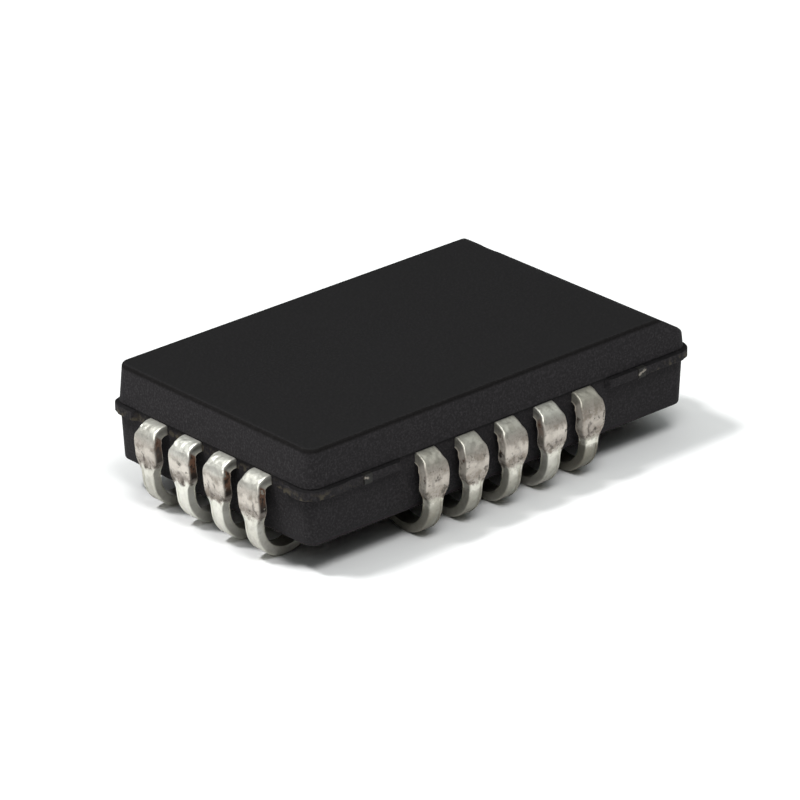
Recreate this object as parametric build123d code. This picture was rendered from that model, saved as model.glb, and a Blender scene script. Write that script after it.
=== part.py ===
"""Eighteen-lead rectangular plastic leaded chip carrier.

A moulded epoxy body on J-formed leads: five leads on each long side and four on each short side.
X runs along the body, Y across it and Z up. The origin is on the seating plane, under the middle of
the body. The top edge at +X carries the bevel that marks the pin 1 end. All sizes are in millimetres.
"""

from build123d import *
import os
from math import atan2, cos, radians, sin, tan

# Lead stations
PITCH = 1.27
LONG_SIDE_LEAD_COUNT = 5
SHORT_SIDE_LEAD_COUNT = 4

# Moulded body, measured at the parting plane
BODY_LENGTH = 12.34
BODY_WIDTH = 7.22
CORNER_RADIUS = 0.38
PARTING_HEIGHT = 2.29
UPPER_HEIGHT = 1.02
UPPER_DRAFT = 5.0
LOWER_HEIGHT = 1.25
LOWER_DRAFT = 3.0
LOWER_SETBACK = 0.03
TOP_EDGE_RADIUS = 0.10
BOTTOM_EDGE_CHAMFER = 0.07

# Bevel along the top edge at the pin 1 end
BEVEL_RUN = 0.90
BEVEL_DROP = 0.64

# Resin fins round the four corners, at the leadframe level
FIN_PROUD = 0.11
FIN_TO_LEAD = 0.50

# Leadframe strip
STRIP = 0.25
EXIT_WIDTH = 0.62
WIDE_WIDTH = 0.74
NARROW_WIDTH = 0.42

# J form of a lead, taken on its outer surface
SHOULDER_RUN = 0.03
SHOULDER_RADIUS = 0.45
LEG_LEAN = 6.0
FOOT_RADIUS = 0.95
TIP_SWEEP = 80.0

# Where the blanked width of a lead changes, as depths below its top surface
DAM_START = 0.13
DAM_FLARE = 0.18
DAM_END = 0.86
NECK_TAPER = 0.42

# Inner finger of a lead, as distances in from the body's side
LOCK_WIDTH = 0.92
LOCK_START = 0.28
LOCK_LENGTH = 0.34
FINGER_NECK = 0.48
FINGER_TIP_WIDTH = 0.36
FINGER_TO_PAD = 0.30

# Pockets in the underside that clear the lead tips
POCKET_CLEARANCE = 0.14
POCKET_DEPTH = 0.34

# Ejector pin marks in the underside
EJECTOR_DIAMETER = 1.30
EJECTOR_SPACING = 5.60
EJECTOR_DEPTH = 0.05

# Die pad and its tie bars
PAD_LENGTH = 9.20
PAD_WIDTH = 3.90
PAD_DOWNSET = 0.35
PAD_CORNER_RADIUS = 0.20
TIE_BAR_WIDTH = 0.25
TIE_BAR_SPACING = 8.90
TIE_BEND_RUN = 0.35
TIE_BEND_OFFSET = 0.45
TIE_STUB_PROUD = 0.02

# Chip and the adhesive that holds it to the pad
DIE_LENGTH = 8.00
DIE_WIDTH = 3.10
DIE_THICKNESS = 0.38
ATTACH_THICKNESS = 0.03
ATTACH_MARGIN = 0.10

# Bond wires
WIRE_DIAMETER = 0.033
WIRE_SIDES = 6
WIRE_RISE = 0.17
WIRE_KNEE = 0.07
BALL_DIAMETER = 0.085
BALL_HEIGHT = 0.02
BOND_INSET = 0.13
BOND_PITCH = 0.70
STITCH_INSET = 0.18

# Heights and half sizes that follow
LOWER_TOP = PARTING_HEIGHT - STRIP
BODY_BOTTOM = LOWER_TOP - LOWER_HEIGHT
BODY_TOP = PARTING_HEIGHT + UPPER_HEIGHT
PAD_TOP = PARTING_HEIGHT - PAD_DOWNSET
ATTACH_TOP = PAD_TOP + ATTACH_THICKNESS
DIE_TOP = ATTACH_TOP + DIE_THICKNESS
HALF_LENGTH = BODY_LENGTH / 2
HALF_WIDTH = BODY_WIDTH / 2
OVERSIZE = 2 * BODY_LENGTH


def block(low, high):
    """A box between two opposite corners."""
    size = [top - bottom for bottom, top in zip(low, high)]
    return Pos(*low) * Box(*size, align=(Align.MIN, Align.MIN, Align.MIN))


def slab(grow, height):
    """The body's plan at a height, grown by an offset on every side."""
    plan = RectangleRounded(BODY_LENGTH + 2 * grow, BODY_WIDTH + 2 * grow, CORNER_RADIUS + grow)
    return Pos(0, 0, height) * plan


# ---------------------------------------------------------------- stations


def side_stations():
    """Each lead as (turn about Z, reach from the middle to the side, place along the side).

    They run anticlockwise seen from above, from the pin 1 end.
    """
    stations = []
    for turn, reach, count in (
        (0, HALF_LENGTH, SHORT_SIDE_LEAD_COUNT),
        (90, HALF_WIDTH, LONG_SIDE_LEAD_COUNT),
        (180, HALF_LENGTH, SHORT_SIDE_LEAD_COUNT),
        (270, HALF_WIDTH, LONG_SIDE_LEAD_COUNT),
    ):
        for index in range(count):
            stations.append((turn, reach, (index - (count - 1) / 2) * PITCH))
    return stations


def at_station(station, shape):
    """Carries a shape from the lead's own frame, whose X points out of the side, to a station."""
    turn, reach, along = station
    return Rot(0, 0, turn) * Pos(reach, along, 0) * shape


# ------------------------------------------------------------------- leads


def foot_centre():
    """Centre of the foot's curve, placed so that the leg is tangent to shoulder and foot."""
    lean = radians(LEG_LEAN)
    fall = PARTING_HEIGHT - SHOULDER_RADIUS - FOOT_RADIUS
    inboard = (FOOT_RADIUS - SHOULDER_RADIUS + sin(lean) * fall) / cos(lean)
    return (SHOULDER_RUN - inboard, FOOT_RADIUS)


def j_path(depth):
    """The lead's bent line from its root to its tip, at a depth below the outer surface."""
    shoulder = (SHOULDER_RUN, PARTING_HEIGHT - SHOULDER_RADIUS)
    bend = CenterArc(shoulder, SHOULDER_RADIUS - depth, 90, -90 - LEG_LEAN)
    curl = CenterArc(foot_centre(), FOOT_RADIUS - depth, -LEG_LEAN, LEG_LEAN - 90 - TIP_SWEEP)
    root = Line((-LOCK_START, PARTING_HEIGHT - depth), bend @ 0)
    return [root, bend, Line(bend @ 1, curl @ 0), curl]


def j_profile():
    """Side view of the bent strip, as a face in the XZ plane."""
    outer = j_path(0)
    inner = j_path(STRIP)
    ends = [Line(outer[0] @ 0, inner[0] @ 0), Line(outer[-1] @ 1, inner[-1] @ 1)]
    return Plane.XZ * make_face(outer + inner + ends)


def blank_outline():
    """Front view of the leg: the dam stubs make it wide, and it necks down to the foot."""
    top = PARTING_HEIGHT
    half = [
        (EXIT_WIDTH / 2, top),
        (EXIT_WIDTH / 2, top - DAM_START),
        (WIDE_WIDTH / 2, top - DAM_START - DAM_FLARE),
        (WIDE_WIDTH / 2, top - DAM_END),
        (NARROW_WIDTH / 2, top - DAM_END - NECK_TAPER),
        (NARROW_WIDTH / 2, 0),
    ]
    mirrored = [(-across, height) for across, height in reversed(half)]
    return Plane.YZ * make_face(Polyline(*half, *mirrored, close=True))


def finger_outline(length):
    """Plan of the inner finger, with the shoulders that lock it in the resin."""
    half = [
        (-LOCK_START, EXIT_WIDTH / 2),
        (-LOCK_START, LOCK_WIDTH / 2),
        (-LOCK_START - LOCK_LENGTH, LOCK_WIDTH / 2),
        (-LOCK_START - LOCK_LENGTH, FINGER_NECK / 2),
        (-length, FINGER_TIP_WIDTH / 2),
    ]
    mirrored = [(x, -across) for x, across in reversed(half)]
    return Pos(0, 0, LOWER_TOP) * make_face(Polyline(*half, *mirrored, close=True))


def lead(inner_length):
    """One lead in its own frame: X out of the body's side, Y along the side."""
    blank = extrude(blank_outline(), amount=OVERSIZE, both=True)
    formed = extrude(j_profile(), amount=WIDE_WIDTH / 2, both=True) & blank
    return formed + extrude(finger_outline(inner_length), amount=STRIP)


def finger_length(station):
    """How far a finger reaches in from the body's side, up to its gap round the die pad."""
    turn, reach, along = station
    pad_half = PAD_WIDTH / 2 if turn in (90, 270) else PAD_LENGTH / 2
    return reach - pad_half - FINGER_TO_PAD


# ----------------------------------------------------- die pad, chip, wires


def tie_bar():
    """One tie bar towards +Y: level with the leads outside, bent down to the pad inside."""
    slope = atan2(PAD_DOWNSET, TIE_BEND_RUN)
    shift = STRIP * tan(slope / 2)
    end = HALF_WIDTH + FIN_PROUD + TIE_STUB_PROUD
    bend_low = PAD_WIDTH / 2 + TIE_BEND_OFFSET
    bend_high = bend_low + TIE_BEND_RUN
    side = [
        (end, PARTING_HEIGHT),
        (bend_high, PARTING_HEIGHT),
        (bend_low, PAD_TOP),
        (0, PAD_TOP),
        (0, PAD_TOP - STRIP),
        (bend_low + shift, PAD_TOP - STRIP),
        (bend_high + shift, LOWER_TOP),
        (end, LOWER_TOP),
    ]
    face = Plane.YZ * make_face(Polyline(*side, close=True))
    return extrude(face, amount=TIE_BAR_WIDTH / 2, both=True)


def die_pad():
    """The plate under the chip, with the four tie bars that carried it in the leadframe."""
    plate = RectangleRounded(PAD_LENGTH, PAD_WIDTH, PAD_CORNER_RADIUS)
    pad = extrude(Pos(0, 0, PAD_TOP - STRIP) * plate, amount=STRIP)
    for turn in (0, 180):
        for along in (-TIE_BAR_SPACING / 2, TIE_BAR_SPACING / 2):
            pad += Rot(0, 0, turn) * Pos(along, 0, 0) * tie_bar()
    return pad


def chip_layer(grow, bottom, top):
    """A rectangular layer centred on the pad, the chip's size grown on every side."""
    half = (DIE_LENGTH / 2 + grow, DIE_WIDTH / 2 + grow)
    return block((-half[0], -half[1], bottom), (half[0], half[1], top))


def bond_wire(station):
    """One wire in the lead's own frame: ball on the chip, loop, stitch on the finger."""
    turn, reach, along = station
    on_long_side = turn in (90, 270)
    die_half = DIE_WIDTH / 2 if on_long_side else DIE_LENGTH / 2
    bond_along = along if on_long_side else along * BOND_PITCH / PITCH
    start = Vector(die_half - BOND_INSET - reach, bond_along - along, DIE_TOP)
    finish = Vector(STITCH_INSET - finger_length(station), 0, PARTING_HEIGHT)
    flat = Vector(finish.X - start.X, finish.Y - start.Y, 0)
    loop_plane = Plane(origin=start, x_dir=flat, z_dir=flat.cross(Vector(0, 0, 1)))
    peak = BALL_HEIGHT + WIRE_RISE
    loop = Polyline((0, 0), (0, peak - WIRE_KNEE), (WIRE_KNEE, peak), (flat.length, finish.Z - start.Z))
    section = Pos(*start) * RegularPolygon(WIRE_DIAMETER / 2, WIRE_SIDES)
    wire = sweep(section, loop_plane * loop, transition=Transition.RIGHT)
    ball = Pos(*start) * extrude(RegularPolygon(BALL_DIAMETER / 2, WIRE_SIDES), amount=BALL_HEIGHT)
    finger_metal = block((-reach, -PITCH, 0), (0, PITCH, PARTING_HEIGHT))
    return ball + (wire - finger_metal)


# ------------------------------------------------------------- moulded body


def upper_half():
    """The resin above the parting plane, with the bevel along its +X top edge."""
    draft = tan(radians(UPPER_DRAFT))
    half = extrude(slab(0, PARTING_HEIGHT), amount=UPPER_HEIGHT, taper=UPPER_DRAFT)
    bevel_start = HALF_LENGTH - UPPER_HEIGHT * draft - BEVEL_RUN
    bevel_end = HALF_LENGTH - (UPPER_HEIGHT - BEVEL_DROP) * draft
    wedge = [
        (bevel_start, BODY_TOP),
        (bevel_end, BODY_TOP - BEVEL_DROP),
        (OVERSIZE, BODY_TOP - BEVEL_DROP),
        (OVERSIZE, BODY_TOP + BEVEL_DROP),
        (bevel_start, BODY_TOP + BEVEL_DROP),
    ]
    face = Plane.XZ * make_face(Polyline(*wedge, close=True))
    half -= extrude(face, amount=OVERSIZE, both=True)
    top = half.faces().sort_by(Axis.Z)[-1]
    return fillet(top.edges(), TOP_EDGE_RADIUS)


def lower_half():
    """The resin below the parting plane, slightly smaller than the upper half."""
    level = extrude(slab(-LOWER_SETBACK, LOWER_TOP), amount=STRIP)
    below = extrude(slab(-LOWER_SETBACK, LOWER_TOP), amount=LOWER_HEIGHT, dir=(0, 0, -1), taper=LOWER_DRAFT)
    bottom = below.faces().sort_by(Axis.Z)[0]
    return level + chamfer(bottom.edges(), BOTTOM_EDGE_CHAMFER)


def corner_fins():
    """The thin resin ledges that the mould leaves round each corner, between the outermost leads."""
    sheet = extrude(slab(FIN_PROUD, LOWER_TOP), amount=STRIP)
    from_x = (LONG_SIDE_LEAD_COUNT - 1) / 2 * PITCH + EXIT_WIDTH / 2 + FIN_TO_LEAD
    from_y = (SHORT_SIDE_LEAD_COUNT - 1) / 2 * PITCH + EXIT_WIDTH / 2 + FIN_TO_LEAD
    corner = block((from_x, from_y, 0), (OVERSIZE, OVERSIZE, BODY_TOP))
    mirrored = mirror(corner, about=Plane.XZ)
    corners = [corner, mirrored, mirror(corner, about=Plane.YZ), mirror(mirrored, about=Plane.YZ)]
    return [sheet & each for each in corners]


def tip_pocket():
    """The recess in the underside over one lead's tip, in the lead's own frame."""
    curl = sin(radians(TIP_SWEEP))
    centre_x = foot_centre()[0]
    inboard = centre_x - FOOT_RADIUS * curl - POCKET_CLEARANCE
    outboard = centre_x - (FOOT_RADIUS - STRIP) * curl + POCKET_CLEARANCE
    middle = (inboard + outboard) / 2
    mouth = Rectangle(outboard - inboard, NARROW_WIDTH + 2 * POCKET_CLEARANCE)
    return extrude(Pos(middle, 0, BODY_BOTTOM) * mouth, amount=POCKET_DEPTH)


def ejector_marks():
    """The shallow round dents that the ejector pins leave in the underside."""
    mark = extrude(Pos(0, 0, BODY_BOTTOM) * Circle(EJECTOR_DIAMETER / 2), amount=EJECTOR_DEPTH)
    return [Pos(along, 0, 0) * mark for along in (-EJECTOR_SPACING / 2, EJECTOR_SPACING / 2)]


def moulded_body(stations, inserts):
    """The one moulding: both halves and the fins, less everything it was moulded round."""
    resin = upper_half() + lower_half() + corner_fins()
    pockets = [at_station(station, tip_pocket()) for station in stations]
    return resin - (inserts + pockets + ejector_marks())


# ----------------------------------------------------------------- assembly


def build():
    """Every piece by name."""
    stations = side_stations()
    pieces = {}
    for number, station in enumerate(stations, start=1):
        pieces[f"lead_{number:02d}"] = at_station(station, lead(finger_length(station)))
    pieces["die_pad"] = die_pad()
    pieces["die_attach"] = chip_layer(ATTACH_MARGIN, PAD_TOP, ATTACH_TOP)
    pieces["silicon_die"] = chip_layer(0, ATTACH_TOP, DIE_TOP)
    for number, station in enumerate(stations, start=1):
        pieces[f"bond_wire_{number:02d}"] = at_station(station, bond_wire(station))
    pieces["moulded_body"] = moulded_body(stations, list(pieces.values()))
    return pieces


os.makedirs("parts", exist_ok=True)
for name, piece in build().items():
    export_step(piece, f"parts/{name}.step")
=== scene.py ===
"""Looks of a J-leaded chip carrier: its moulded body, its formed leads and the metal inside it.

Lengths are in metres. X runs along the body towards the bevelled end, Y across it and Z up.
"""

from math import cos, pi, radians, sin, tan

import bmesh
import bpy
import numpy as np
from mathutils import Matrix, Vector

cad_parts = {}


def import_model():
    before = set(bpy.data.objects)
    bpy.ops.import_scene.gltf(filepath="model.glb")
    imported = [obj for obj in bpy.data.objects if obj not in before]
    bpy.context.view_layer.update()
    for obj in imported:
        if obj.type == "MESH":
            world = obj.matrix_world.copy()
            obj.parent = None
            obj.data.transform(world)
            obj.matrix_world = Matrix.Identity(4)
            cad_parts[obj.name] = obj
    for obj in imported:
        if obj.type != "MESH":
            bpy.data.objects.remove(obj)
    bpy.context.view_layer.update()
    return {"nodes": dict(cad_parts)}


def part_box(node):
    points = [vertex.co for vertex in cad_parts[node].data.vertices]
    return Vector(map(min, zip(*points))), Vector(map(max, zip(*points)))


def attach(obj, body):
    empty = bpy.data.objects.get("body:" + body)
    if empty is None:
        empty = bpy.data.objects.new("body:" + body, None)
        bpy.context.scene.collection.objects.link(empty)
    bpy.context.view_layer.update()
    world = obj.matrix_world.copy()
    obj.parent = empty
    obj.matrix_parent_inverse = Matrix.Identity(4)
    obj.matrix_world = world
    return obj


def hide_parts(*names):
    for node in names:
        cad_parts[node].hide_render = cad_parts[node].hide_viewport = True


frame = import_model()

MM = 0.001

# ---------------------------------------------------------------- sizes

# Body: the fins stand proud of the upper half, and the lower half is set back from it
FIN_PROUD = 0.11 * MM
FIN_TO_LEAD = 0.50 * MM
LOWER_SETBACK = 0.03 * MM
UPPER_DRAFT = radians(5)
LOWER_DRAFT = radians(3)
CORNER_RADIUS = 0.38 * MM
TOP_EDGE = 0.10 * MM
TOP_INSET = 0.13 * MM
BOTTOM_EDGE = 0.07 * MM
BEVEL_RUN = 0.90 * MM
BEVEL_DROP = 0.64 * MM
CREASE = 0.035 * MM
FIN_END = 0.02 * MM
FIN_UNEVENNESS = 0.22

# Tie bars: how far from the middle of the body their cut ends stand, and the slant of the bright streak on
# them, partly bare metal and partly a painted highlight
TIE_BAR_PLACE = 4.45 * MM
SMEAR_AND_GLINT_SLOPE = 0.3

# Leads
STRIP = 0.25 * MM
EXIT_WIDTH = 0.62 * MM
WIDE_WIDTH = 0.74 * MM
NARROW_WIDTH = 0.42 * MM
SHOULDER_RUN = 0.03 * MM
SHOULDER_RADIUS = 0.45 * MM
LONG_SIDE_SHOULDER_RADIUS = 0.59 * MM
ROOT_LENGTH = 0.10 * MM
LEG_LEAN = radians(6)
FOOT_RADIUS = 0.95 * MM
TIP_SWEEP = radians(80)
DAM_START = 0.13 * MM
DAM_FLARE = 0.18 * MM
DAM_END = 0.86 * MM
CUT_RISE = 0.06 * MM
CUT_FALL = 0.08 * MM
NECK_TAPER = 0.42 * MM
LOCK_START = 0.28 * MM
LOCK_LENGTH = 0.34 * MM
LOCK_WIDTH = 0.92 * MM
WIDTH_STEP = 0.004 * MM
FINGER_NECK = 0.48 * MM
FINGER_TIP_WIDTH = 0.36 * MM
ROLLED_EDGE = 0.05 * MM
SHEARED_EDGE = 0.018 * MM
LEG_CROWN = 0.032 * MM

# Wear of the leads: dents, the ring that the gripper left, and how far a leg leans sideways. A pair is
# the range that each lead's own value is drawn from.
DENT_DEPTH = 0.0045 * MM
RING_RADIUS = 0.12 * MM
RING_WIDTH = 0.032 * MM
RING_STRETCH = 1.3
RING_WANDER = 0.035 * MM
RING_DEPTHS = 0.006 * MM, 0.014 * MM
RING_BELOW = 0.72 * MM, 0.92 * MM
RING_ACROSS = -0.10 * MM, 0.10 * MM
SKEWS = -0.012, 0.012

# How dull the plating of each lead has gone, side by side from lead 1 on. The leads of the long sides
# are set duller partly as painted shade, on top of each lead's own wear.
DULLNESS_AND_SHADE = [
    *(0.20, 0.10, 0.30, 0.15),
    *(0.60, 0.80, 0.50, 0.70, 0.60),
    *(0.36, 0.0, 0.12, 0.25),
    *(0.85, 0.68, 0.66, 0.42, 1.0),
]

# Underside
POCKET_CLEARANCE = 0.14 * MM
POCKET_DEPTH = 0.34 * MM
POCKET_WALL = 0.03 * MM
EJECTOR_RADIUS = 0.65 * MM
EJECTOR_OFFSET = 2.80 * MM
EJECTOR_DEPTH = 0.05 * MM
EJECTOR_EDGE = 0.10 * MM

# Grid of the body's skin: the widest step, and the least step between two marks
WIDEST_STEP = 0.10 * MM
CLOSEST_LINES = 0.002 * MM

body_low, body_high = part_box("moulded_body")
HALF_LENGTH = body_high.x - FIN_PROUD
HALF_WIDTH = body_high.y - FIN_PROUD
BODY_TOP = body_high.z
BODY_BOTTOM = body_low.z
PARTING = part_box("lead_01")[1].z
LOWER_TOP = PARTING - STRIP
BOTTOM_OUTSET = -LOWER_SETBACK - (LOWER_TOP - BODY_BOTTOM) * tan(LOWER_DRAFT) - BOTTOM_EDGE


def lead_station(name):
    """A lead's place, from its box: the way out of the body, the way across, how far out the body's
    side is, how far across the lead is, and how far in its finger reaches."""
    low, high = (np.array(corner[:2]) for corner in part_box(name))
    middle = (low + high) / 2
    halves = np.array([HALF_LENGTH, HALF_WIDTH])
    axis = int(np.argmax(np.maximum(np.abs(low), np.abs(high)) - halves))
    outward = np.zeros(2)
    outward[axis] = np.sign(middle[axis])
    across = np.array([-outward[1], outward[0]])
    inner_end = min(abs(low[axis]), abs(high[axis]))
    return outward, across, halves[axis], middle @ across, halves[axis] - inner_end


STATIONS = {name: lead_station(name) for name in sorted(frame["nodes"]) if name.startswith("lead_")}

# ---------------------------------------------------------------- shapes on grids


def smooth_step(value):
    """0 below 0, 1 above 1, and three times the square less twice the cube between."""
    clipped = np.clip(value, 0.0, 1.0)
    return clipped * clipped * (3 - 2 * clipped)


def soft_least(first, second, blend):
    """The lesser of two values, rounded over where they are about equal."""
    return (first + second - np.sqrt((first - second) ** 2 + blend**2)) / 2


def waves(points, size, seed, count=28):
    """Smooth random relief of unit spread: a sum of sine waves, about size long, in random directions."""
    draw = np.random.default_rng(seed)
    directions = draw.normal(size=(count, 3))
    directions /= np.linalg.norm(directions, axis=1, keepdims=True)
    lengths = size * draw.uniform(0.6, 1.7, count)
    phases = draw.uniform(0, 2 * pi, count)
    angles = points @ (directions * (2 * pi / lengths)[:, None]).T + phases
    return np.sin(angles).sum(-1) / np.sqrt(count / 2)


def grid_faces(index):
    """Quads between neighbouring rows and columns of an array of vertex numbers."""
    corners = (index[:-1, :-1], index[1:, :-1], index[1:, 1:], index[:-1, 1:])
    return np.stack([corner.ravel() for corner in corners], axis=1)


def mesh_piece(name, points, quads, caps=(), sharp_angle=radians(38)):
    """A closed piece from its vertices, quads and flat end caps, turned so that its volume is positive."""
    mesh = bpy.data.meshes.new(name)
    mesh.from_pydata(points.reshape(-1, 3).tolist(), [], quads.tolist() + [list(cap) for cap in caps])
    shell = bmesh.new()
    shell.from_mesh(mesh)
    volume = shell.calc_volume(signed=True)
    shell.free()
    if volume < 0:
        mesh.flip_normals()
    mesh.polygons.foreach_set("use_smooth", np.ones(len(mesh.polygons), bool))
    mesh.set_sharp_from_angle(angle=sharp_angle)
    piece = bpy.data.objects.new(name, mesh)
    bpy.context.scene.collection.objects.link(piece)
    return piece


def keep_attribute(piece, name, values):
    """Keeps one number for each vertex, for a finish to read."""
    layer = piece.data.attributes.new(name, "FLOAT", "POINT")
    layer.data.foreach_set("value", np.asarray(values, np.float32).ravel())


# ---------------------------------------------------------------- moulded body


def top_height(x):
    """Height of the top: level, then falling in a straight line along the bevel at the +X end."""
    start = HALF_LENGTH - (BODY_TOP - PARTING) * tan(UPPER_DRAFT) - BEVEL_RUN
    end = HALF_LENGTH - (BODY_TOP - PARTING - BEVEL_DROP) * tan(UPPER_DRAFT)
    slope = BEVEL_DROP / (end - start)
    return soft_least(BODY_TOP, BODY_TOP - slope * (x - start), CREASE)


def top_over(x):
    """Height of the top over a place of the nominal rectangle, which shrinks with the top's inset."""
    return top_height(x * (HALF_LENGTH - TOP_INSET) / HALF_LENGTH)


def plan(x, y, outset):
    """The body's plan grown by outset. A point of the nominal rectangle is scaled with the half sizes.
    In a corner square its distance from the square's inner corner becomes the larger of its two offsets,
    and its direction an eighth of a turn times the smaller over the larger, so squares become arcs."""
    half_x, half_y = HALF_LENGTH + outset, HALF_WIDTH + outset
    radius = CORNER_RADIUS + outset
    x, y = x * half_x / HALF_LENGTH, y * half_y / HALF_WIDTH
    over_x = np.maximum(np.abs(x) - (half_x - radius), 0)
    over_y = np.maximum(np.abs(y) - (half_y - radius), 0)
    far, near = np.maximum(over_x, over_y), np.minimum(over_x, over_y)
    turn = pi / 4 * near / np.maximum(far, 1e-12)
    major, minor = far * np.cos(turn), far * np.sin(turn)
    round_x = np.where(over_x >= over_y, major, minor)
    round_y = np.where(over_x >= over_y, minor, major)
    place_x = np.sign(x) * (np.minimum(np.abs(x), half_x - radius) + round_x)
    place_y = np.sign(y) * (np.minimum(np.abs(y), half_y - radius) + round_y)
    return place_x, place_y


def foot_centre():
    """Centre of the foot's curve, out from the body's side and up, where the leg is tangent to it."""
    fall = PARTING - SHOULDER_RADIUS - FOOT_RADIUS
    inboard = (FOOT_RADIUS - SHOULDER_RADIUS + sin(LEG_LEAN) * fall) / cos(LEG_LEAN)
    return SHOULDER_RUN - inboard, FOOT_RADIUS


def tip_pockets():
    """Each tip pocket's lowest and highest corner on the underside, as rows of (x, y, x, y)."""
    centre, curl = foot_centre()[0], sin(TIP_SWEEP)
    reach = (
        centre - FOOT_RADIUS * curl - POCKET_CLEARANCE,
        centre - (FOOT_RADIUS - STRIP) * curl + POCKET_CLEARANCE,
    )
    half = NARROW_WIDTH / 2 + POCKET_CLEARANCE
    boxes = []
    for outward, across, side, along, _ in STATIONS.values():
        inner = (side + reach[0]) * outward + (along - half) * across
        outer = (side + reach[1]) * outward + (along + half) * across
        boxes.append(np.concatenate([np.minimum(inner, outer), np.maximum(inner, outer)]))
    return np.array(boxes)


def grid_lines(half, marks, spacing):
    """Line places from -half to half: every mark, and even steps no wider than spacing between marks.
    Of marks that nearly meet, the first is kept."""
    marks = np.unique(np.concatenate([[-half, half], marks[np.abs(marks) < half]]))
    marks = marks[np.concatenate([[True], np.diff(marks) > CLOSEST_LINES])]
    steps = np.ceil(np.diff(marks) / spacing).astype(int)
    runs = [np.linspace(low, high, n + 1)[:-1] for low, high, n in zip(marks[:-1], marks[1:], steps)]
    return np.concatenate([*runs, [half]])


def fin_ends(leads_half):
    """Marks for the two faces of each fin end along a side."""
    start = leads_half + EXIT_WIDTH / 2 + FIN_TO_LEAD
    return np.array([-start, -start + FIN_END, start - FIN_END, start])


def outermost_lead(axis):
    """How far out the outermost lead of the sides that run along an axis stands."""
    return max(abs(along) for _, across, _, along, _ in STATIONS.values() if across[axis])


def underside(x, y, pockets):
    """Height of the underside: level, with a box-shaped pocket over each tip and two round marks of the
    mould's ejectors."""
    height = np.full(x.shape, BODY_BOTTOM)
    for low_x, low_y, high_x, high_y in pockets:
        inside_x = np.minimum(x - low_x, high_x - x) / POCKET_WALL + 0.5
        inside_y = np.minimum(y - low_y, high_y - y) / POCKET_WALL + 0.5
        height = height + POCKET_DEPTH * np.clip(np.minimum(inside_x, inside_y), 0, 1)
    for centre in (-EJECTOR_OFFSET, EJECTOR_OFFSET):
        reach = np.hypot(x - centre, y)
        height = height + EJECTOR_DEPTH * smooth_step((EJECTOR_RADIUS - reach) / EJECTOR_EDGE + 0.5)
    return height


def fin_share(x, y):
    """1 where the fins run round a corner, and 0 along the leads, for places on the nominal outline."""
    from_x = outermost_lead(0) + EXIT_WIDTH / 2 + FIN_TO_LEAD
    from_y = outermost_lead(1) + EXIT_WIDTH / 2 + FIN_TO_LEAD
    on_long = np.abs(np.abs(y) - HALF_WIDTH) < 1e-9
    on_short = np.abs(np.abs(x) - HALF_LENGTH) < 1e-9
    share_long = smooth_step((np.abs(x) - from_x) / FIN_END + 1)
    share_short = smooth_step((np.abs(y) - from_y) / FIN_END + 1)
    return np.where(on_long & on_short, 1.0, np.where(on_long, share_long, share_short))


def wall_rows(x, y):
    """Rows up the wall as (height, outset) for each place on the outline: the bottom edge's arc, the
    lower half's draft, the fin standing out by its share, the upper half's draft and the top edge's arc."""
    bend = np.linspace(0, pi / 2, 5)[1:]
    low_z = BODY_BOTTOM + BOTTOM_EDGE * (1 - np.cos(bend))
    low_out = BOTTOM_OUTSET + BOTTOM_EDGE * np.sin(bend)
    draft_z = np.linspace(BODY_BOTTOM + BOTTOM_EDGE, LOWER_TOP, 13)[1:]
    draft_out = -LOWER_SETBACK - (LOWER_TOP - draft_z) * tan(LOWER_DRAFT)
    fin_z = LOWER_TOP + STRIP * np.array([0.01, 0.03, 0.10, 0.30, 0.50, 0.70, 0.90, 0.97, 0.99])
    fin_form = np.array([0.45, 0.90, 1, 1, 1, 1, 1, 0.9, 0.45])
    places = np.stack([x, y, 0 * x], axis=1)
    ragged = 1 - FIN_UNEVENNESS * np.clip(waves(places, 0.35 * MM, 5), 0, 1.6)
    proud = FIN_PROUD * ragged * fin_share(x, y)
    fin_out = -LOWER_SETBACK + fin_form[:, None] * (proud + LOWER_SETBACK * fin_share(x, y))
    top = top_over(x)
    rise = np.concatenate([[0.0, 0.012], np.linspace(0, 1, 11)[1:]])[:, None]
    upper_z = PARTING + rise * (top - TOP_EDGE - PARTING)
    upper_out = -(upper_z - PARTING) * tan(UPPER_DRAFT)
    turn = np.linspace(0, pi / 2, 7)[1:-1, None]
    edge_z = top - TOP_EDGE * (1 - np.sin(turn))
    edge_out = upper_out[-1] - TOP_EDGE * (1 - np.cos(turn))
    level = np.ones_like(x)
    heights = [np.outer(low_z, level), np.outer(draft_z, level), np.outer(fin_z, level), upper_z, edge_z]
    outsets = [np.outer(low_out, level), np.outer(draft_out, level), fin_out, upper_out, edge_out]
    return np.vstack(heights), np.vstack(outsets)


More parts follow.
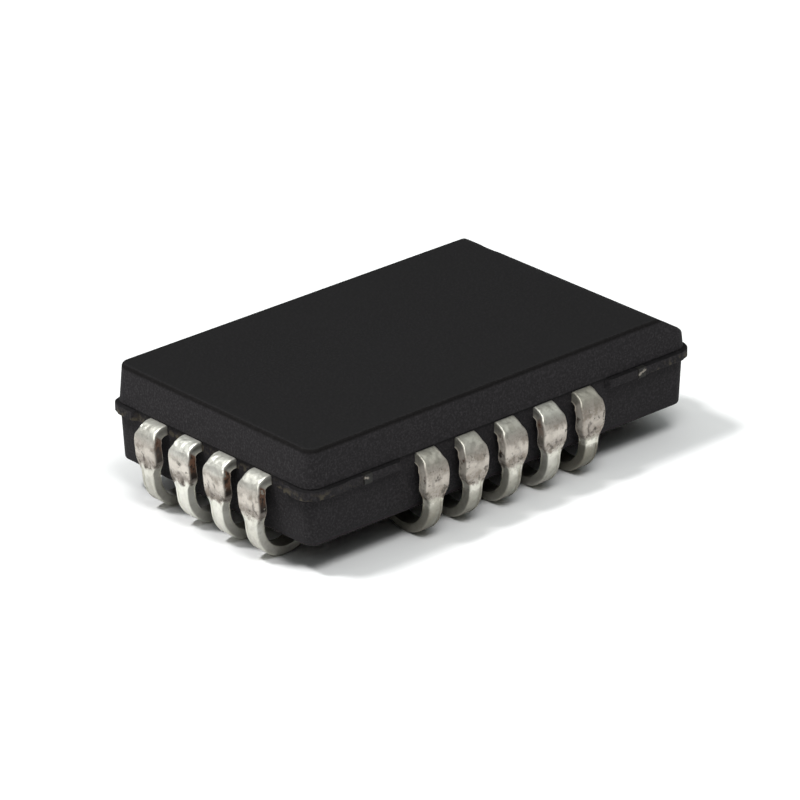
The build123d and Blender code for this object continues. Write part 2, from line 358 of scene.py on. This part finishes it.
def body_moulding():
    """The moulding as one closed skin: the underside and the top as grids over the same rectangle, and
    rows of the wall between their edges."""
    pockets = tip_pockets()
    shrink = (HALF_LENGTH + BOTTOM_OUTSET) / HALF_LENGTH, (HALF_WIDTH + BOTTOM_OUTSET) / HALF_WIDTH
    walls = np.array([-POCKET_WALL / 2, POCKET_WALL / 2])
    ejector_reach = EJECTOR_RADIUS + 0.8 * EJECTOR_EDGE
    ejector = np.linspace(-ejector_reach, ejector_reach, 45)
    ejectors = np.concatenate([ejector - EJECTOR_OFFSET, ejector + EJECTOR_OFFSET]), ejector
    lines = []
    for k, half in enumerate((HALF_LENGTH, HALF_WIDTH)):
        pocket_walls = (pockets[:, [k, k + 2]].ravel()[:, None] + walls).ravel()
        under_marks = np.concatenate([pocket_walls, ejectors[k]]) / shrink[k]
        corner_marks = half - CORNER_RADIUS, CORNER_RADIUS - half
        marks = np.concatenate([under_marks, fin_ends(outermost_lead(k)), corner_marks])
        lines.append(grid_lines(half, marks, WIDEST_STEP))
    x, y = np.meshgrid(*lines, indexing="ij")
    index = np.arange(x.size).reshape(x.shape)
    rim = np.concatenate([index[:-1, 0], index[-1, :-1], index[:0:-1, -1], index[0, :0:-1]])

    low_x, low_y = plan(x, y, BOTTOM_OUTSET)
    under = np.stack([low_x, low_y, underside(low_x, low_y, pockets)], axis=-1)
    top = top_over(x)
    high_x, high_y = plan(x, y, -(top - TOP_EDGE - PARTING) * tan(UPPER_DRAFT) - TOP_EDGE)
    over = np.stack([high_x, high_y, top], axis=-1)

    heights, outsets = wall_rows(x.ravel()[rim], y.ravel()[rim])
    wall_x, wall_y = plan(x.ravel()[rim][None, :], y.ravel()[rim][None, :], outsets)
    wall = np.stack([wall_x, wall_y, heights], axis=-1)

    wall_index = 2 * x.size + np.arange(heights.size).reshape(heights.shape)
    rows = np.vstack([rim, wall_index, x.size + rim])
    rows = np.hstack([rows, rows[:, :1]])
    quads = np.vstack([grid_faces(index)[:, ::-1], grid_faces(index + x.size), grid_faces(rows)[:, ::-1]])
    points = np.vstack([part.reshape(-1, 3) for part in (under, over, wall)])
    return mesh_piece("moulding", points, quads)


# ---------------------------------------------------------------- leads


def arc(centre, radius, tilt):
    """Points at a radius from a centre, in the direction of each tilt, as (out, up)."""
    return np.stack([centre[0] + radius * np.cos(tilt), centre[1] + radius * np.sin(tilt)])


def strip_line(inner_length, radius):
    """The lead's outer line as (out, up, tilt): straight out of the body, round the shoulder, down the
    leaning leg and round the foot. Tilt is the direction of the outer surface, from 90 degrees at the top.
    A shoulder of a larger radius begins further in, so that it runs into the same leg."""
    run = SHOULDER_RUN + (SHOULDER_RADIUS - radius) * (1 + sin(LEG_LEAN)) / cos(LEG_LEAN)
    lock_end = LOCK_START + LOCK_LENGTH
    finger = [inner_length, (inner_length + lock_end) / 2, lock_end + WIDTH_STEP, lock_end]
    lock = [(LOCK_START + lock_end) / 2, LOCK_START, LOCK_START - WIDTH_STEP]
    root_end = SHOULDER_RUN - run
    inside = -np.array([*finger, *lock, root_end + ROOT_LENGTH, root_end])
    shoulder_tilt = np.linspace(pi / 2, -LEG_LEAN, 26)
    foot_tilt = np.linspace(-LEG_LEAN, -pi / 2 - TIP_SWEEP, 44)
    shoulder = arc((run, PARTING - radius), radius, shoulder_tilt)
    foot = arc(foot_centre(), FOOT_RADIUS, foot_tilt)
    share = np.linspace(0, 1, 14)[1:-1]
    leg = shoulder[:, -1:] * (1 - share) + foot[:, :1] * share
    root = np.stack([inside, np.full_like(inside, PARTING)])
    out, up = np.hstack([root, shoulder, leg, foot])
    tilt = np.concatenate(
        [np.full(inside.size, pi / 2), shoulder_tilt, np.full(share.size, -LEG_LEAN), foot_tilt]
    )
    return out, up, tilt


def strip_width(out, up, tilt, inner_length):
    """The blank's width: the finger's steps inside the body, then by depth below the lead's top."""
    lock_end = LOCK_START + LOCK_LENGTH
    early, late = 0.25 * WIDTH_STEP, 0.75 * WIDTH_STEP
    places = [-inner_length, -lock_end - late, -lock_end - early, early - LOCK_START, late - LOCK_START]
    finger = np.interp(out, places, [FINGER_TIP_WIDTH, FINGER_NECK, LOCK_WIDTH, LOCK_WIDTH, EXIT_WIDTH])
    depth = PARTING - up
    flare = smooth_step((depth - DAM_START) / DAM_FLARE)
    taper = smooth_step((depth - DAM_END) / NECK_TAPER)
    leg = EXIT_WIDTH + (WIDE_WIDTH - EXIT_WIDTH) * flare - (WIDE_WIDTH - NARROW_WIDTH) * taper
    return np.where((tilt == pi / 2) & (out < late - LOCK_START), finger, leg)


def strip_section():
    """The strip's section as (share of the half width, offset across, depth) round a closed loop: the
    outer face with its rolled edges, then the inner face, whose sheared edges end in a fine burr."""
    face = np.linspace(-1, 1, 15)
    turn = np.linspace(0, pi / 2, 5)
    side = np.linspace(ROLLED_EDGE, STRIP - SHEARED_EDGE, 5)[1:-1]
    rolled = ROLLED_EDGE * (np.sin(turn[1:]) - 1), ROLLED_EDGE * (1 - np.cos(turn[1:]))
    sheared = SHEARED_EDGE * (np.sin(turn[:0:-1]) - 1), STRIP - SHEARED_EDGE * (1 - np.cos(turn[:0:-1]))
    right = np.concatenate([rolled[0], 0 * side, sheared[0]])
    down = np.concatenate([rolled[1], side, sheared[1]])
    share = np.concatenate([face, np.ones_like(down), -face, -np.ones_like(down)])
    offset = np.concatenate([-face * ROLLED_EDGE, right, -face * SHEARED_EDGE, -right[::-1]])
    depth = np.concatenate([0 * face, down, 0 * face + STRIP, down[::-1]])
    return share, offset, depth


def grip_ring(draw, seed, places, below):
    """The ring that the gripper pressed into the outer face: 1 on a circle, taller than wide, and falling
    off like a bell curve to both sides of it. Waves make it wander and break it up."""
    ring_below, ring_across = draw.uniform(*RING_BELOW), draw.uniform(*RING_ACROSS)
    wander = RING_WANDER * waves(places, 0.25 * MM, seed + 50)
    reach = np.hypot((ring_below - below[:, None]) / RING_STRETCH + wander, places[..., 1] - ring_across)
    ring = np.exp(-(((reach - RING_RADIUS) / RING_WIDTH) ** 2))
    return ring * smooth_step(waves(places, 0.30 * MM, seed + 80) * 0.8 + 0.35)


def formed_lead(name, seed, dullness_and_shade):
    """One lead: the strip's section carried along its line. A point is the line's point, less its depth
    along the outward surface direction, and across by its share of the half width. Dents and the ring
    sink the outer face, and the square of the share crowns the narrow leg."""
    outward, across, side, along, inner_length = STATIONS[name]
    draw = np.random.default_rng(seed)
    radius = LONG_SIDE_SHOULDER_RADIUS if outward[1] else SHOULDER_RADIUS
    out, up, tilt = strip_line(inner_length, radius)
    below = PARTING - up
    width = strip_width(out, up, tilt, inner_length)
    share, offset, depth = strip_section()
    outer = (depth == 0).astype(float)
    travelled = np.concatenate([[0], np.cumsum(np.hypot(np.diff(out), np.diff(up)))])
    wide_share = share[None, :] * width[:, None] / 2 + offset[None, :]
    strip_places = np.stack(np.broadcast_arrays(travelled[:, None], wide_share, depth[None, :]), axis=-1)

    exposed = np.maximum(smooth_step((out - 0.02 * MM) / (0.1 * MM)), below > 0.05 * MM)[:, None]
    dents = DENT_DEPTH * np.clip(waves(strip_places, 0.16 * MM, seed) + 0.4, 0, 2.2)
    ring = grip_ring(draw, seed, strip_places, below)
    worn = exposed * (dents + draw.uniform(*RING_DEPTHS) * ring)
    crowned = LEG_CROWN * smooth_step((below - DAM_END) / NECK_TAPER)[:, None] * share**2
    in_depth = depth[None, :] + outer * (worn + crowned)

    skew = draw.uniform(*SKEWS) * below
    local_out = out[:, None] - in_depth * np.cos(tilt)[:, None]
    local_up = up[:, None] - in_depth * np.sin(tilt)[:, None]
    local_across = wide_share + skew[:, None]
    ground = (side + local_out)[..., None] * outward + (along + local_across)[..., None] * across
    points = np.concatenate([ground, local_up[..., None]], axis=-1)

    index = np.arange(points.shape[0] * points.shape[1]).reshape(points.shape[:2])
    looped = np.hstack([index, index[:, :1]])
    piece = mesh_piece(f"formed_{name}", points, grid_faces(looped), caps=[index[0][::-1], index[-1]])
    edge = np.clip((depth - 0.6 * ROLLED_EDGE) / ROLLED_EDGE, 0, 1) * (np.abs(share) == 1) * (depth < STRIP)
    cut = smooth_step((below - DAM_START) / CUT_RISE) * (1 - smooth_step((below - DAM_END) / CUT_FALL))
    keep_attribute(piece, "dullness_and_shade", np.full(index.shape, dullness_and_shade))
    keep_attribute(piece, "grip_ring", outer * ring * exposed)
    keep_attribute(piece, "dam_cut", edge[None, :] * cut[:, None])
    keep_attribute(piece, "sheared_edge", np.broadcast_to(edge, index.shape))
    return piece


# ---------------------------------------------------------------- finishes


class Signal:
    """A number or colour that changes over a surface. Arithmetic on it adds Math nodes."""

    def __init__(self, finish, socket):
        self.finish, self.socket = finish, socket

    def math(self, operation, *values):
        values = dict(enumerate(values or (self,)))
        return self.finish.node("ShaderNodeMath", {"operation": operation}, values)

    def __add__(self, other):
        return self.math("ADD", self, other)

    def __sub__(self, other):
        return self.math("SUBTRACT", self, other)

    def __rsub__(self, other):
        return self.math("SUBTRACT", other, self)

    def __mul__(self, other):
        return self.math("MULTIPLY", self, other)

    __radd__ = __add__
    __rmul__ = __mul__


class Finish:
    """A material under construction."""

    def __init__(self, name):
        self.material = bpy.data.materials.new(name)
        self.material.use_nodes = True
        self.tree = self.material.node_tree
        self.tree.nodes.clear()
        self.output = self.tree.nodes.new("ShaderNodeOutputMaterial")
        self.place = self.node("ShaderNodeTexCoord", output="Object")

    def node(self, kind, settings=None, inputs=None, output=0):
        """Adds a node: its settings first, then its sockets' values or links. Gives one of its outputs."""
        node = self.tree.nodes.new(kind)
        for name, value in (settings or {}).items():
            setattr(node, name, value)
        for key, value in (inputs or {}).items():
            if isinstance(value, Signal):
                self.tree.links.new(value.socket, node.inputs[key])
            else:
                node.inputs[key].default_value = value
        return Signal(self, node.outputs[output])

    def grain(self, size, detail=2.0, roughness=0.5):
        """Noise from 0 to 1 with features about size across."""
        inputs = {"Vector": self.place, "Scale": 1 / size, "Detail": detail, "Roughness": roughness}
        return self.node("ShaderNodeTexNoise", {}, inputs)

    def step(self, value, low, high):
        """Rises smoothly from 0 at low to 1 at high."""
        inputs = {"Value": value, "From Min": low, "From Max": high}
        return self.node("ShaderNodeMapRange", {"interpolation_type": "SMOOTHSTEP"}, inputs)

    def band(self, value, start, full, fading, end):
        """Rises smoothly from 0 at start to 1 at full, and falls from 1 at fading to 0 at end."""
        return self.step(value, start, full) * (1 - self.step(value, fading, end))

    def blend(self, factor, first, second):
        """A colour between two colours."""
        settings = {"data_type": "RGBA", "clamp_factor": True}
        return self.node("ShaderNodeMix", settings, {0: factor, 6: first, 7: second}, output=2)

    def attribute(self, name):
        return self.node("ShaderNodeAttribute", {"attribute_name": name}, output="Fac")

    def along(self, axis):
        """Place along X, Y or Z."""
        return self.node("ShaderNodeSeparateXYZ", {}, {0: self.place}, output=axis)

    def relief(self, height, depth, strength=1.0):
        """A bump of the given depth in metres."""
        return self.node("ShaderNodeBump", {}, {"Height": height, "Distance": depth, "Strength": strength})

    def surface(self, **inputs):
        named = {key.replace("_", " "): value for key, value in inputs.items()}
        shader = self.node("ShaderNodeBsdfPrincipled", {}, named)
        self.tree.links.new(shader.socket, self.output.inputs["Surface"])
        return self.material


def grey(level, warmth=0.0):
    """A grey, warmer or cooler by a share."""
    return (level * (1 + warmth), level, level * (1 - warmth), 1.0)


def epoxy():
    """Black moulding compound: fine sparkle of filler, faint clouds and a satin roughness. The ground top
    is blacker, its rim is darkest, the crease over the fins is darkest too as painted shade, and the fins
    are dusty near the ends."""
    f = Finish("black_moulding_compound")
    clouds = f.grain(1.6 * MM, 3)
    grit = f.grain(0.055 * MM, 3, 0.6)
    fine = f.grain(0.018 * MM, 2)
    dust = f.grain(0.16 * MM, 2)
    speck = f.step(f.grain(0.05 * MM, 1), 0.72, 0.80)
    up = f.along("Z")
    top = f.step(up, BODY_TOP - 0.03 * MM, BODY_TOP)
    rim = f.step(up, BODY_TOP - 0.16 * MM, BODY_TOP - 0.07 * MM) * (1 - top)
    near_end = f.step(f.along("X").math("ABSOLUTE"), 4.4 * MM, 5.6 * MM)
    fin = f.band(up, LOWER_TOP - 0.02 * MM, LOWER_TOP + 0.01 * MM, LOWER_TOP + 0.05 * MM, PARTING)
    # Painted shade in the crease where the upper half meets the fins.
    corner = f.band(up - PARTING, -0.03 * MM, -0.01 * MM, 0.02 * MM, 0.05 * MM)
    tone = f.blend(clouds, (0.022, 0.0202, 0.0218, 1), (0.028, 0.0260, 0.0278, 1))
    tone = f.blend(f.step(grit, 0.40, 0.75), tone, (0.049, 0.0455, 0.0485, 1))
    tone = f.blend(speck * 0.4, tone, grey(0.12, 0.03))
    tone = f.blend(fin * near_end * f.step(dust, 0.46, 0.62) * 0.7, tone, (0.115, 0.099, 0.070, 1))
    tone = f.blend(corner * 0.65, tone, grey(0.003))
    tone = f.blend(rim * 0.75, tone, grey(0.003, 0.2))
    tone = f.blend(top * 0.8, tone, grey(0.0078))
    return f.surface(
        Base_Color=tone,
        Roughness=0.60 + 0.24 * grit + 0.1 * rim,
        Specular_IOR_Level=0.10,
        Normal=f.relief(grit * 0.7 + fine * 0.3, 0.010 * MM, 0.5),
    )


def solder_plate():
    """Tin-lead plate over copper alloy: bright on the shoulder, and clouded pinkish grey, pitted and
    ringed where the leg was gripped, with a paler heart and a scuff below it. Dull plate is greyer, with
    a painted highlight at the neck and a foot darkened as painted shade; the long sides' leads are set
    duller partly as painted shade, and every leg darkens towards the floor as painted shade. The strip's
    edges are darker, with painted shade where they meet the body, and brown along the dam cut, whose
    copper is hidden on dull leads partly as painted shade."""
    f = Finish("tin_lead_plate")
    clouds = f.grain(0.30 * MM, 3, 0.6)
    blotches = f.grain(0.16 * MM, 3, 0.5)
    mottle = f.grain(0.055 * MM, 3, 0.6)
    fine = f.grain(0.02 * MM, 2)
    # Each lead's dull value is partly its own wear and partly painted shade on the long sides' leads.
    dull = f.attribute("dullness_and_shade")
    height = f.along("Z")
    up = height + (clouds - 0.5) * (0.36 * MM) + (blotches - 0.5) * (0.25 * MM) - (1 - dull) * (0.10 * MM)
    down = PARTING - up
    gripped = 1 - f.step(down, 1.08 * MM, 1.22 * MM)
    gripped = gripped * f.step(down + dull * (0.16 * MM), 0.28 * MM, 0.62 * MM)
    neck = gripped * f.step(down, 0.78 * MM, 1.02 * MM)
    # Painted highlight on the neck of dull leads.
    painted_glint = f.band(down, 1.12 * MM, 1.22 * MM, 1.28 * MM, 1.42 * MM)
    heart = f.band(down, 0.52 * MM, 0.66 * MM, 0.78 * MM, 0.90 * MM)
    scuffed = f.band(down, 0.92 * MM, 1.00 * MM, 1.06 * MM, 1.14 * MM)
    # Painted shade: legs darken towards the floor, and dull leads' feet darken more.
    low = 1 - f.step(up, 0.10 * MM, 0.95 * MM)
    foot = 1 - f.step(up, 0.76 * MM, 1.02 * MM)
    uneven = blotches * 0.75 + mottle * 0.25
    pits = gripped * f.step(uneven + neck * 0.07, 0.58, 0.67)
    rings = f.attribute("grip_ring") * f.step(blotches, 0.30, 0.50)
    tone = f.blend(clouds, (0.76, 0.755, 0.68, 1), (0.985, 0.975, 0.905, 1))
    tone = f.blend(dull * 0.85, tone, (0.40, 0.378, 0.315, 1))
    tone = f.blend(f.step(uneven, 0.46, 0.62) * (0.12 + 0.36 * dull), tone, (0.20, 0.165, 0.14, 1))
    tone = f.blend(dull * f.step(blotches, 0.50, 0.70) * 0.5, tone, (0.60, 0.59, 0.50, 1))
    tone = f.blend(dull * painted_glint * f.step(clouds, 0.42, 0.58), tone, (0.86, 0.84, 0.76, 1))
    tone = f.blend(gripped * 0.8, tone, (0.52, 0.465, 0.42, 1))
    tone = f.blend(gripped * f.step(clouds, 0.46, 0.64) * 0.75, tone, (0.30, 0.255, 0.215, 1))
    tone = f.blend(gripped * f.step(mottle, 0.48, 0.64) * 0.4, tone, (0.30, 0.27, 0.21, 1))
    tone = f.blend(heart * (0.70 - 0.35 * dull), tone, (0.84, 0.79, 0.72, 1))
    tone = f.blend(scuffed * (1 - dull) * 0.5, tone, (0.16, 0.13, 0.11, 1))
    # Painted shade towards the floor, stronger on the feet of dull leads.
    tone = f.blend(low * 0.3, tone, (0.15, 0.14, 0.11, 1))
    tone = f.blend(foot * dull * 0.55, tone, (0.15, 0.14, 0.11, 1))
    tone = f.blend(pits * 0.75, tone, (0.085, 0.072, 0.055, 1))
    tone = f.blend(rings * 0.8, tone, (0.07, 0.05, 0.045, 1))
    copper = f.step(height, PARTING - 0.80 * MM, PARTING - 0.52 * MM) * f.step(blotches, 0.36, 0.50)
    # On dull leads the copper of the cut is hidden, partly as painted shade.
    cut = f.blend(copper * (1 - dull * 0.9), (0.040, 0.031, 0.026, 1), (0.27, 0.145, 0.092, 1))
    cut = f.blend(f.step(uneven, 0.57, 0.62), cut, (0.42, 0.40, 0.34, 1))
    cut = f.blend(f.step(dull, 0.30, 0.60) * f.step(clouds, 0.34, 0.50) * 0.9, cut, (0.66, 0.61, 0.54, 1))
    sheared = f.attribute("sheared_edge")
    # Painted shade on the sheared edges where the shoulder meets the body.
    painted_crevice_shade = sheared * (1 - dull) * f.step(height, PARTING - 0.26 * MM, PARTING - 0.14 * MM)
    tone = f.blend(sheared * 0.12 + painted_crevice_shade * 0.70, tone, (0.070, 0.064, 0.052, 1))
    tone = f.blend(f.attribute("dam_cut"), tone, cut)
    return f.surface(
        Base_Color=tone,
        Metallic=0.80 - 0.4 * pits - 0.38 * sheared,
        Roughness=0.34 + 0.14 * clouds + 0.16 * gripped + 0.08 * dull,
        Normal=f.relief(mottle * 0.25 + fine * 0.1 + blotches * 1.1, 0.016 * MM, 0.6),
    )


def leadframe_copper():
    """Bare copper alloy of the pad. The tie bars' cut ends are tarnished dark, each with a small bright
    streak that slants across it, partly bare metal and partly a painted highlight. At the plain end of
    the body only the bar's outer half has it."""
    f = Finish("leadframe_copper")
    clouds = f.grain(0.30 * MM, 3)
    mottle = f.grain(0.06 * MM, 2)
    along = f.along("X")
    cut_end = f.step(f.along("Y").math("ABSOLUTE"), HALF_WIDTH - LOWER_SETBACK, HALF_WIDTH)
    up = f.along("Z") + (mottle - 0.5) * (0.12 * MM)
    down = PARTING + SMEAR_AND_GLINT_SLOPE * (along.math("ABSOLUTE") - TIE_BAR_PLACE) - up
    plain_inner = f.band(along, -TIE_BAR_PLACE - 0.02 * MM, -TIE_BAR_PLACE + 0.04 * MM, 0.0, MM)
    # A bright streak on each cut end, partly bare metal and partly a painted highlight.
    smear_and_glint = f.band(down, 0.07 * MM, 0.10 * MM, 0.13 * MM, 0.16 * MM) * (1 - plain_inner)
    tone = f.blend(clouds, (0.50, 0.34, 0.24, 1), (0.72, 0.52, 0.38, 1))
    tone = f.blend(mottle * 0.4, tone, (0.10, 0.07, 0.05, 1))
    tone = f.blend(cut_end, tone, (0.010, 0.009, 0.007, 1))
    tone = f.blend(cut_end * smear_and_glint, tone, (0.26, 0.235, 0.205, 1))
    return f.surface(
        Base_Color=tone,
        Metallic=0.95 - 0.9 * (cut_end * (1 - smear_and_glint)),
        Roughness=0.38 + 0.2 * mottle + 0.2 * (cut_end * (1 - smear_and_glint)),
        Normal=f.relief(mottle, 0.005 * MM, 0.5),
    )


def die_adhesive():
    """Silver-filled adhesive, dull and grainy."""
    f = Finish("silver_filled_adhesive")
    grains = f.grain(0.04 * MM, 3)
    return f.surface(
        Base_Color=f.blend(grains, grey(0.30, 0.02), grey(0.55, 0.02)),
        Metallic=0.4,
        Roughness=0.5 + 0.2 * grains,
        Normal=f.relief(grains, 0.006 * MM, 0.6),
    )


def silicon():
    """Polished silicon with a faint cloud of oxide colour."""
    f = Finish("silicon_chip")
    clouds = f.grain(0.8 * MM, 2)
    return f.surface(
        Base_Color=f.blend(clouds, (0.16, 0.17, 0.20, 1), (0.24, 0.22, 0.28, 1)),
        Metallic=0.6,
        Roughness=0.18 + 0.1 * clouds,
        Normal=f.relief(clouds, 0.002 * MM, 0.3),
    )


def gold_wire():
    """Drawn gold wire."""
    f = Finish("bond_gold")
    draw_lines = f.grain(0.02 * MM, 2)
    return f.surface(
        Base_Color=f.blend(draw_lines, (0.80, 0.55, 0.18, 1), (0.95, 0.70, 0.30, 1)),
        Metallic=1.0,
        Roughness=0.22 + 0.12 * draw_lines,
        Normal=f.relief(draw_lines, 0.001 * MM, 0.3),
    )


# ---------------------------------------------------------------- assembly


def fit_piece(piece, finish, slot, *nodes):
    """Gives a new piece its finish and puts it in its nodes' place."""
    piece.data.materials.append(finish)
    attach(piece, "root")
    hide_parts(*nodes)


compound, plate = epoxy(), solder_plate()
fit_piece(body_moulding(), compound, "epoxy_moulding", "moulded_body")
for number, name in enumerate(STATIONS):
    fit_piece(formed_lead(name, 100 + number, DULLNESS_AND_SHADE[number]), plate, "lead_plating", name)

inner_finishes = {
    "die_pad": (leadframe_copper(), "leadframe_copper"),
    "die_attach": (die_adhesive(), "die_adhesive"),
    "silicon_die": (silicon(), "silicon"),
}
wire_finish = (gold_wire(), "bond_gold")
for name, node in frame["nodes"].items():
    if name in inner_finishes or name.startswith("bond_wire"):
        finish, slot = inner_finishes.get(name, wire_finish)
        node.data.materials.clear()
        node.data.materials.append(finish)

# ---------------------------------------------------------------- floor, light and camera


def floor():
    """A plain white sheet. It is white to camera and mirror rays, greyer in the light that it throws
    back, and keeps its shadows."""
    half, level = 1.5, -0.002 * MM
    corners = (-half, -half, level), (half, -half, level), (half, half, level), (-half, half, level)
    mesh = bpy.data.meshes.new("floor")
    mesh.from_pydata(corners, [], [(0, 1, 2, 3)])
    sheet = bpy.data.objects.new("floor", mesh)
    bpy.context.scene.collection.objects.link(sheet)
    f = Finish("white_sheet")
    camera_ray = f.node("ShaderNodeLightPath", output="Is Camera Ray")
    mirror_ray = f.node("ShaderNodeLightPath", output="Is Glossy Ray")
    seen = camera_ray.math("MAXIMUM", camera_ray, mirror_ray)
    diffuse = f.node("ShaderNodeBsdfDiffuse", {}, {"Color": f.blend(seen, grey(0.60), grey(0.98))})
    f.tree.links.new(diffuse.socket, f.output.inputs["Surface"])
    mesh.materials.append(f.material)


def world(dark_below, overhead):
    """A sky that is dark below a height, the sine of an elevation, and from there grows evenly to its
    strength overhead. The camera sees it as plain white behind the object."""
    sky = bpy.data.worlds.new("studio")
    sky.use_nodes = True
    tree = sky.node_tree
    tree.nodes.clear()
    output = tree.nodes.new("ShaderNodeOutputWorld")
    path = tree.nodes.new("ShaderNodeLightPath")
    towards = tree.nodes.new("ShaderNodeTexCoord")
    split = tree.nodes.new("ShaderNodeSeparateXYZ")
    height = tree.nodes.new("ShaderNodeMapRange")
    height.inputs["From Min"].default_value, height.inputs["To Max"].default_value = dark_below, overhead
    light, backdrop = (tree.nodes.new("ShaderNodeBackground") for _ in range(2))
    backdrop.inputs["Strength"].default_value = 1.0
    light.inputs["Color"].default_value = (0.95, 1.0, 0.985, 1)
    backdrop.inputs["Color"].default_value = (1, 1, 1, 1)
    mix = tree.nodes.new("ShaderNodeMixShader")
    for source, target in (
        (towards.outputs["Generated"], split.inputs[0]),
        (split.outputs["Z"], height.inputs["Value"]),
        (height.outputs[0], light.inputs["Strength"]),
        (path.outputs["Is Camera Ray"], mix.inputs[0]),
        (light.outputs[0], mix.inputs[1]),
        (backdrop.outputs[0], mix.inputs[2]),
        (mix.outputs[0], output.inputs[0]),
    ):
        tree.links.new(source, target)
    bpy.context.scene.world = sky


def direction(azimuth, elevation):
    """From the object towards a place seen at an azimuth and elevation; azimuth 0 is the -Y side."""
    azimuth, elevation = radians(azimuth), radians(elevation)
    return Vector((sin(azimuth) * cos(elevation), -cos(azimuth) * cos(elevation), sin(elevation)))


def softbox(name, azimuth, elevation, distance, size, power):
    """A square lamp that faces the object."""
    lamp = bpy.data.lights.new(name, "AREA")
    lamp.shape, lamp.size, lamp.energy = "SQUARE", size, power
    holder = bpy.data.objects.new(name, lamp)
    towards = direction(azimuth, elevation)
    holder.location = towards * distance
    holder.rotation_euler = towards.to_track_quat("Z", "Y").to_euler()
    bpy.context.scene.collection.objects.link(holder)


def camera(azimuth, elevation, roll, distance, height, aside, aloft, lens):
    """The viewing camera. It looks from an azimuth and elevation, with a roll, at a point over the middle
    of the package's plan at a height, moved aside and aloft across the view."""
    back = direction(azimuth, elevation)
    level_right = (-back).cross(Vector((0, 0, 1))).normalized()
    level_up = level_right.cross(-back)
    roll = radians(roll)
    right = cos(roll) * level_right + sin(roll) * level_up
    up = cos(roll) * level_up - sin(roll) * level_right
    aim = Vector((0, 0, height)) + aside * right + aloft * up
    view = bpy.data.cameras.new("camera")
    view.lens, view.sensor_width = lens, 36.0
    view.clip_start, view.clip_end = 0.005, 10.0
    holder = bpy.data.objects.new("camera", view)
    turn = Matrix((right, up, back)).transposed().to_4x4()
    holder.matrix_world = Matrix.Translation(aim + distance * back) @ turn
    bpy.context.scene.collection.objects.link(holder)
    bpy.context.scene.camera = holder


floor()
world(dark_below=0.46, overhead=0.90)
softbox("key_softbox", -120, 62, 160 * MM, 24 * MM, 0.142)
softbox("rim_softbox", -139, 27, 160 * MM, 24 * MM, 0.009)
softbox("fill_softbox", -22, 64, 180 * MM, 64 * MM, 0.132)
camera(
    azimuth=-41.516,
    elevation=24.415,
    roll=-0.669,
    distance=143.285 * MM,
    height=1.67 * MM,
    aside=-0.0968 * MM,
    aloft=-0.0911 * MM,
    lens=264.83,
)
bpy.context.scene.view_settings.view_transform = "Standard"
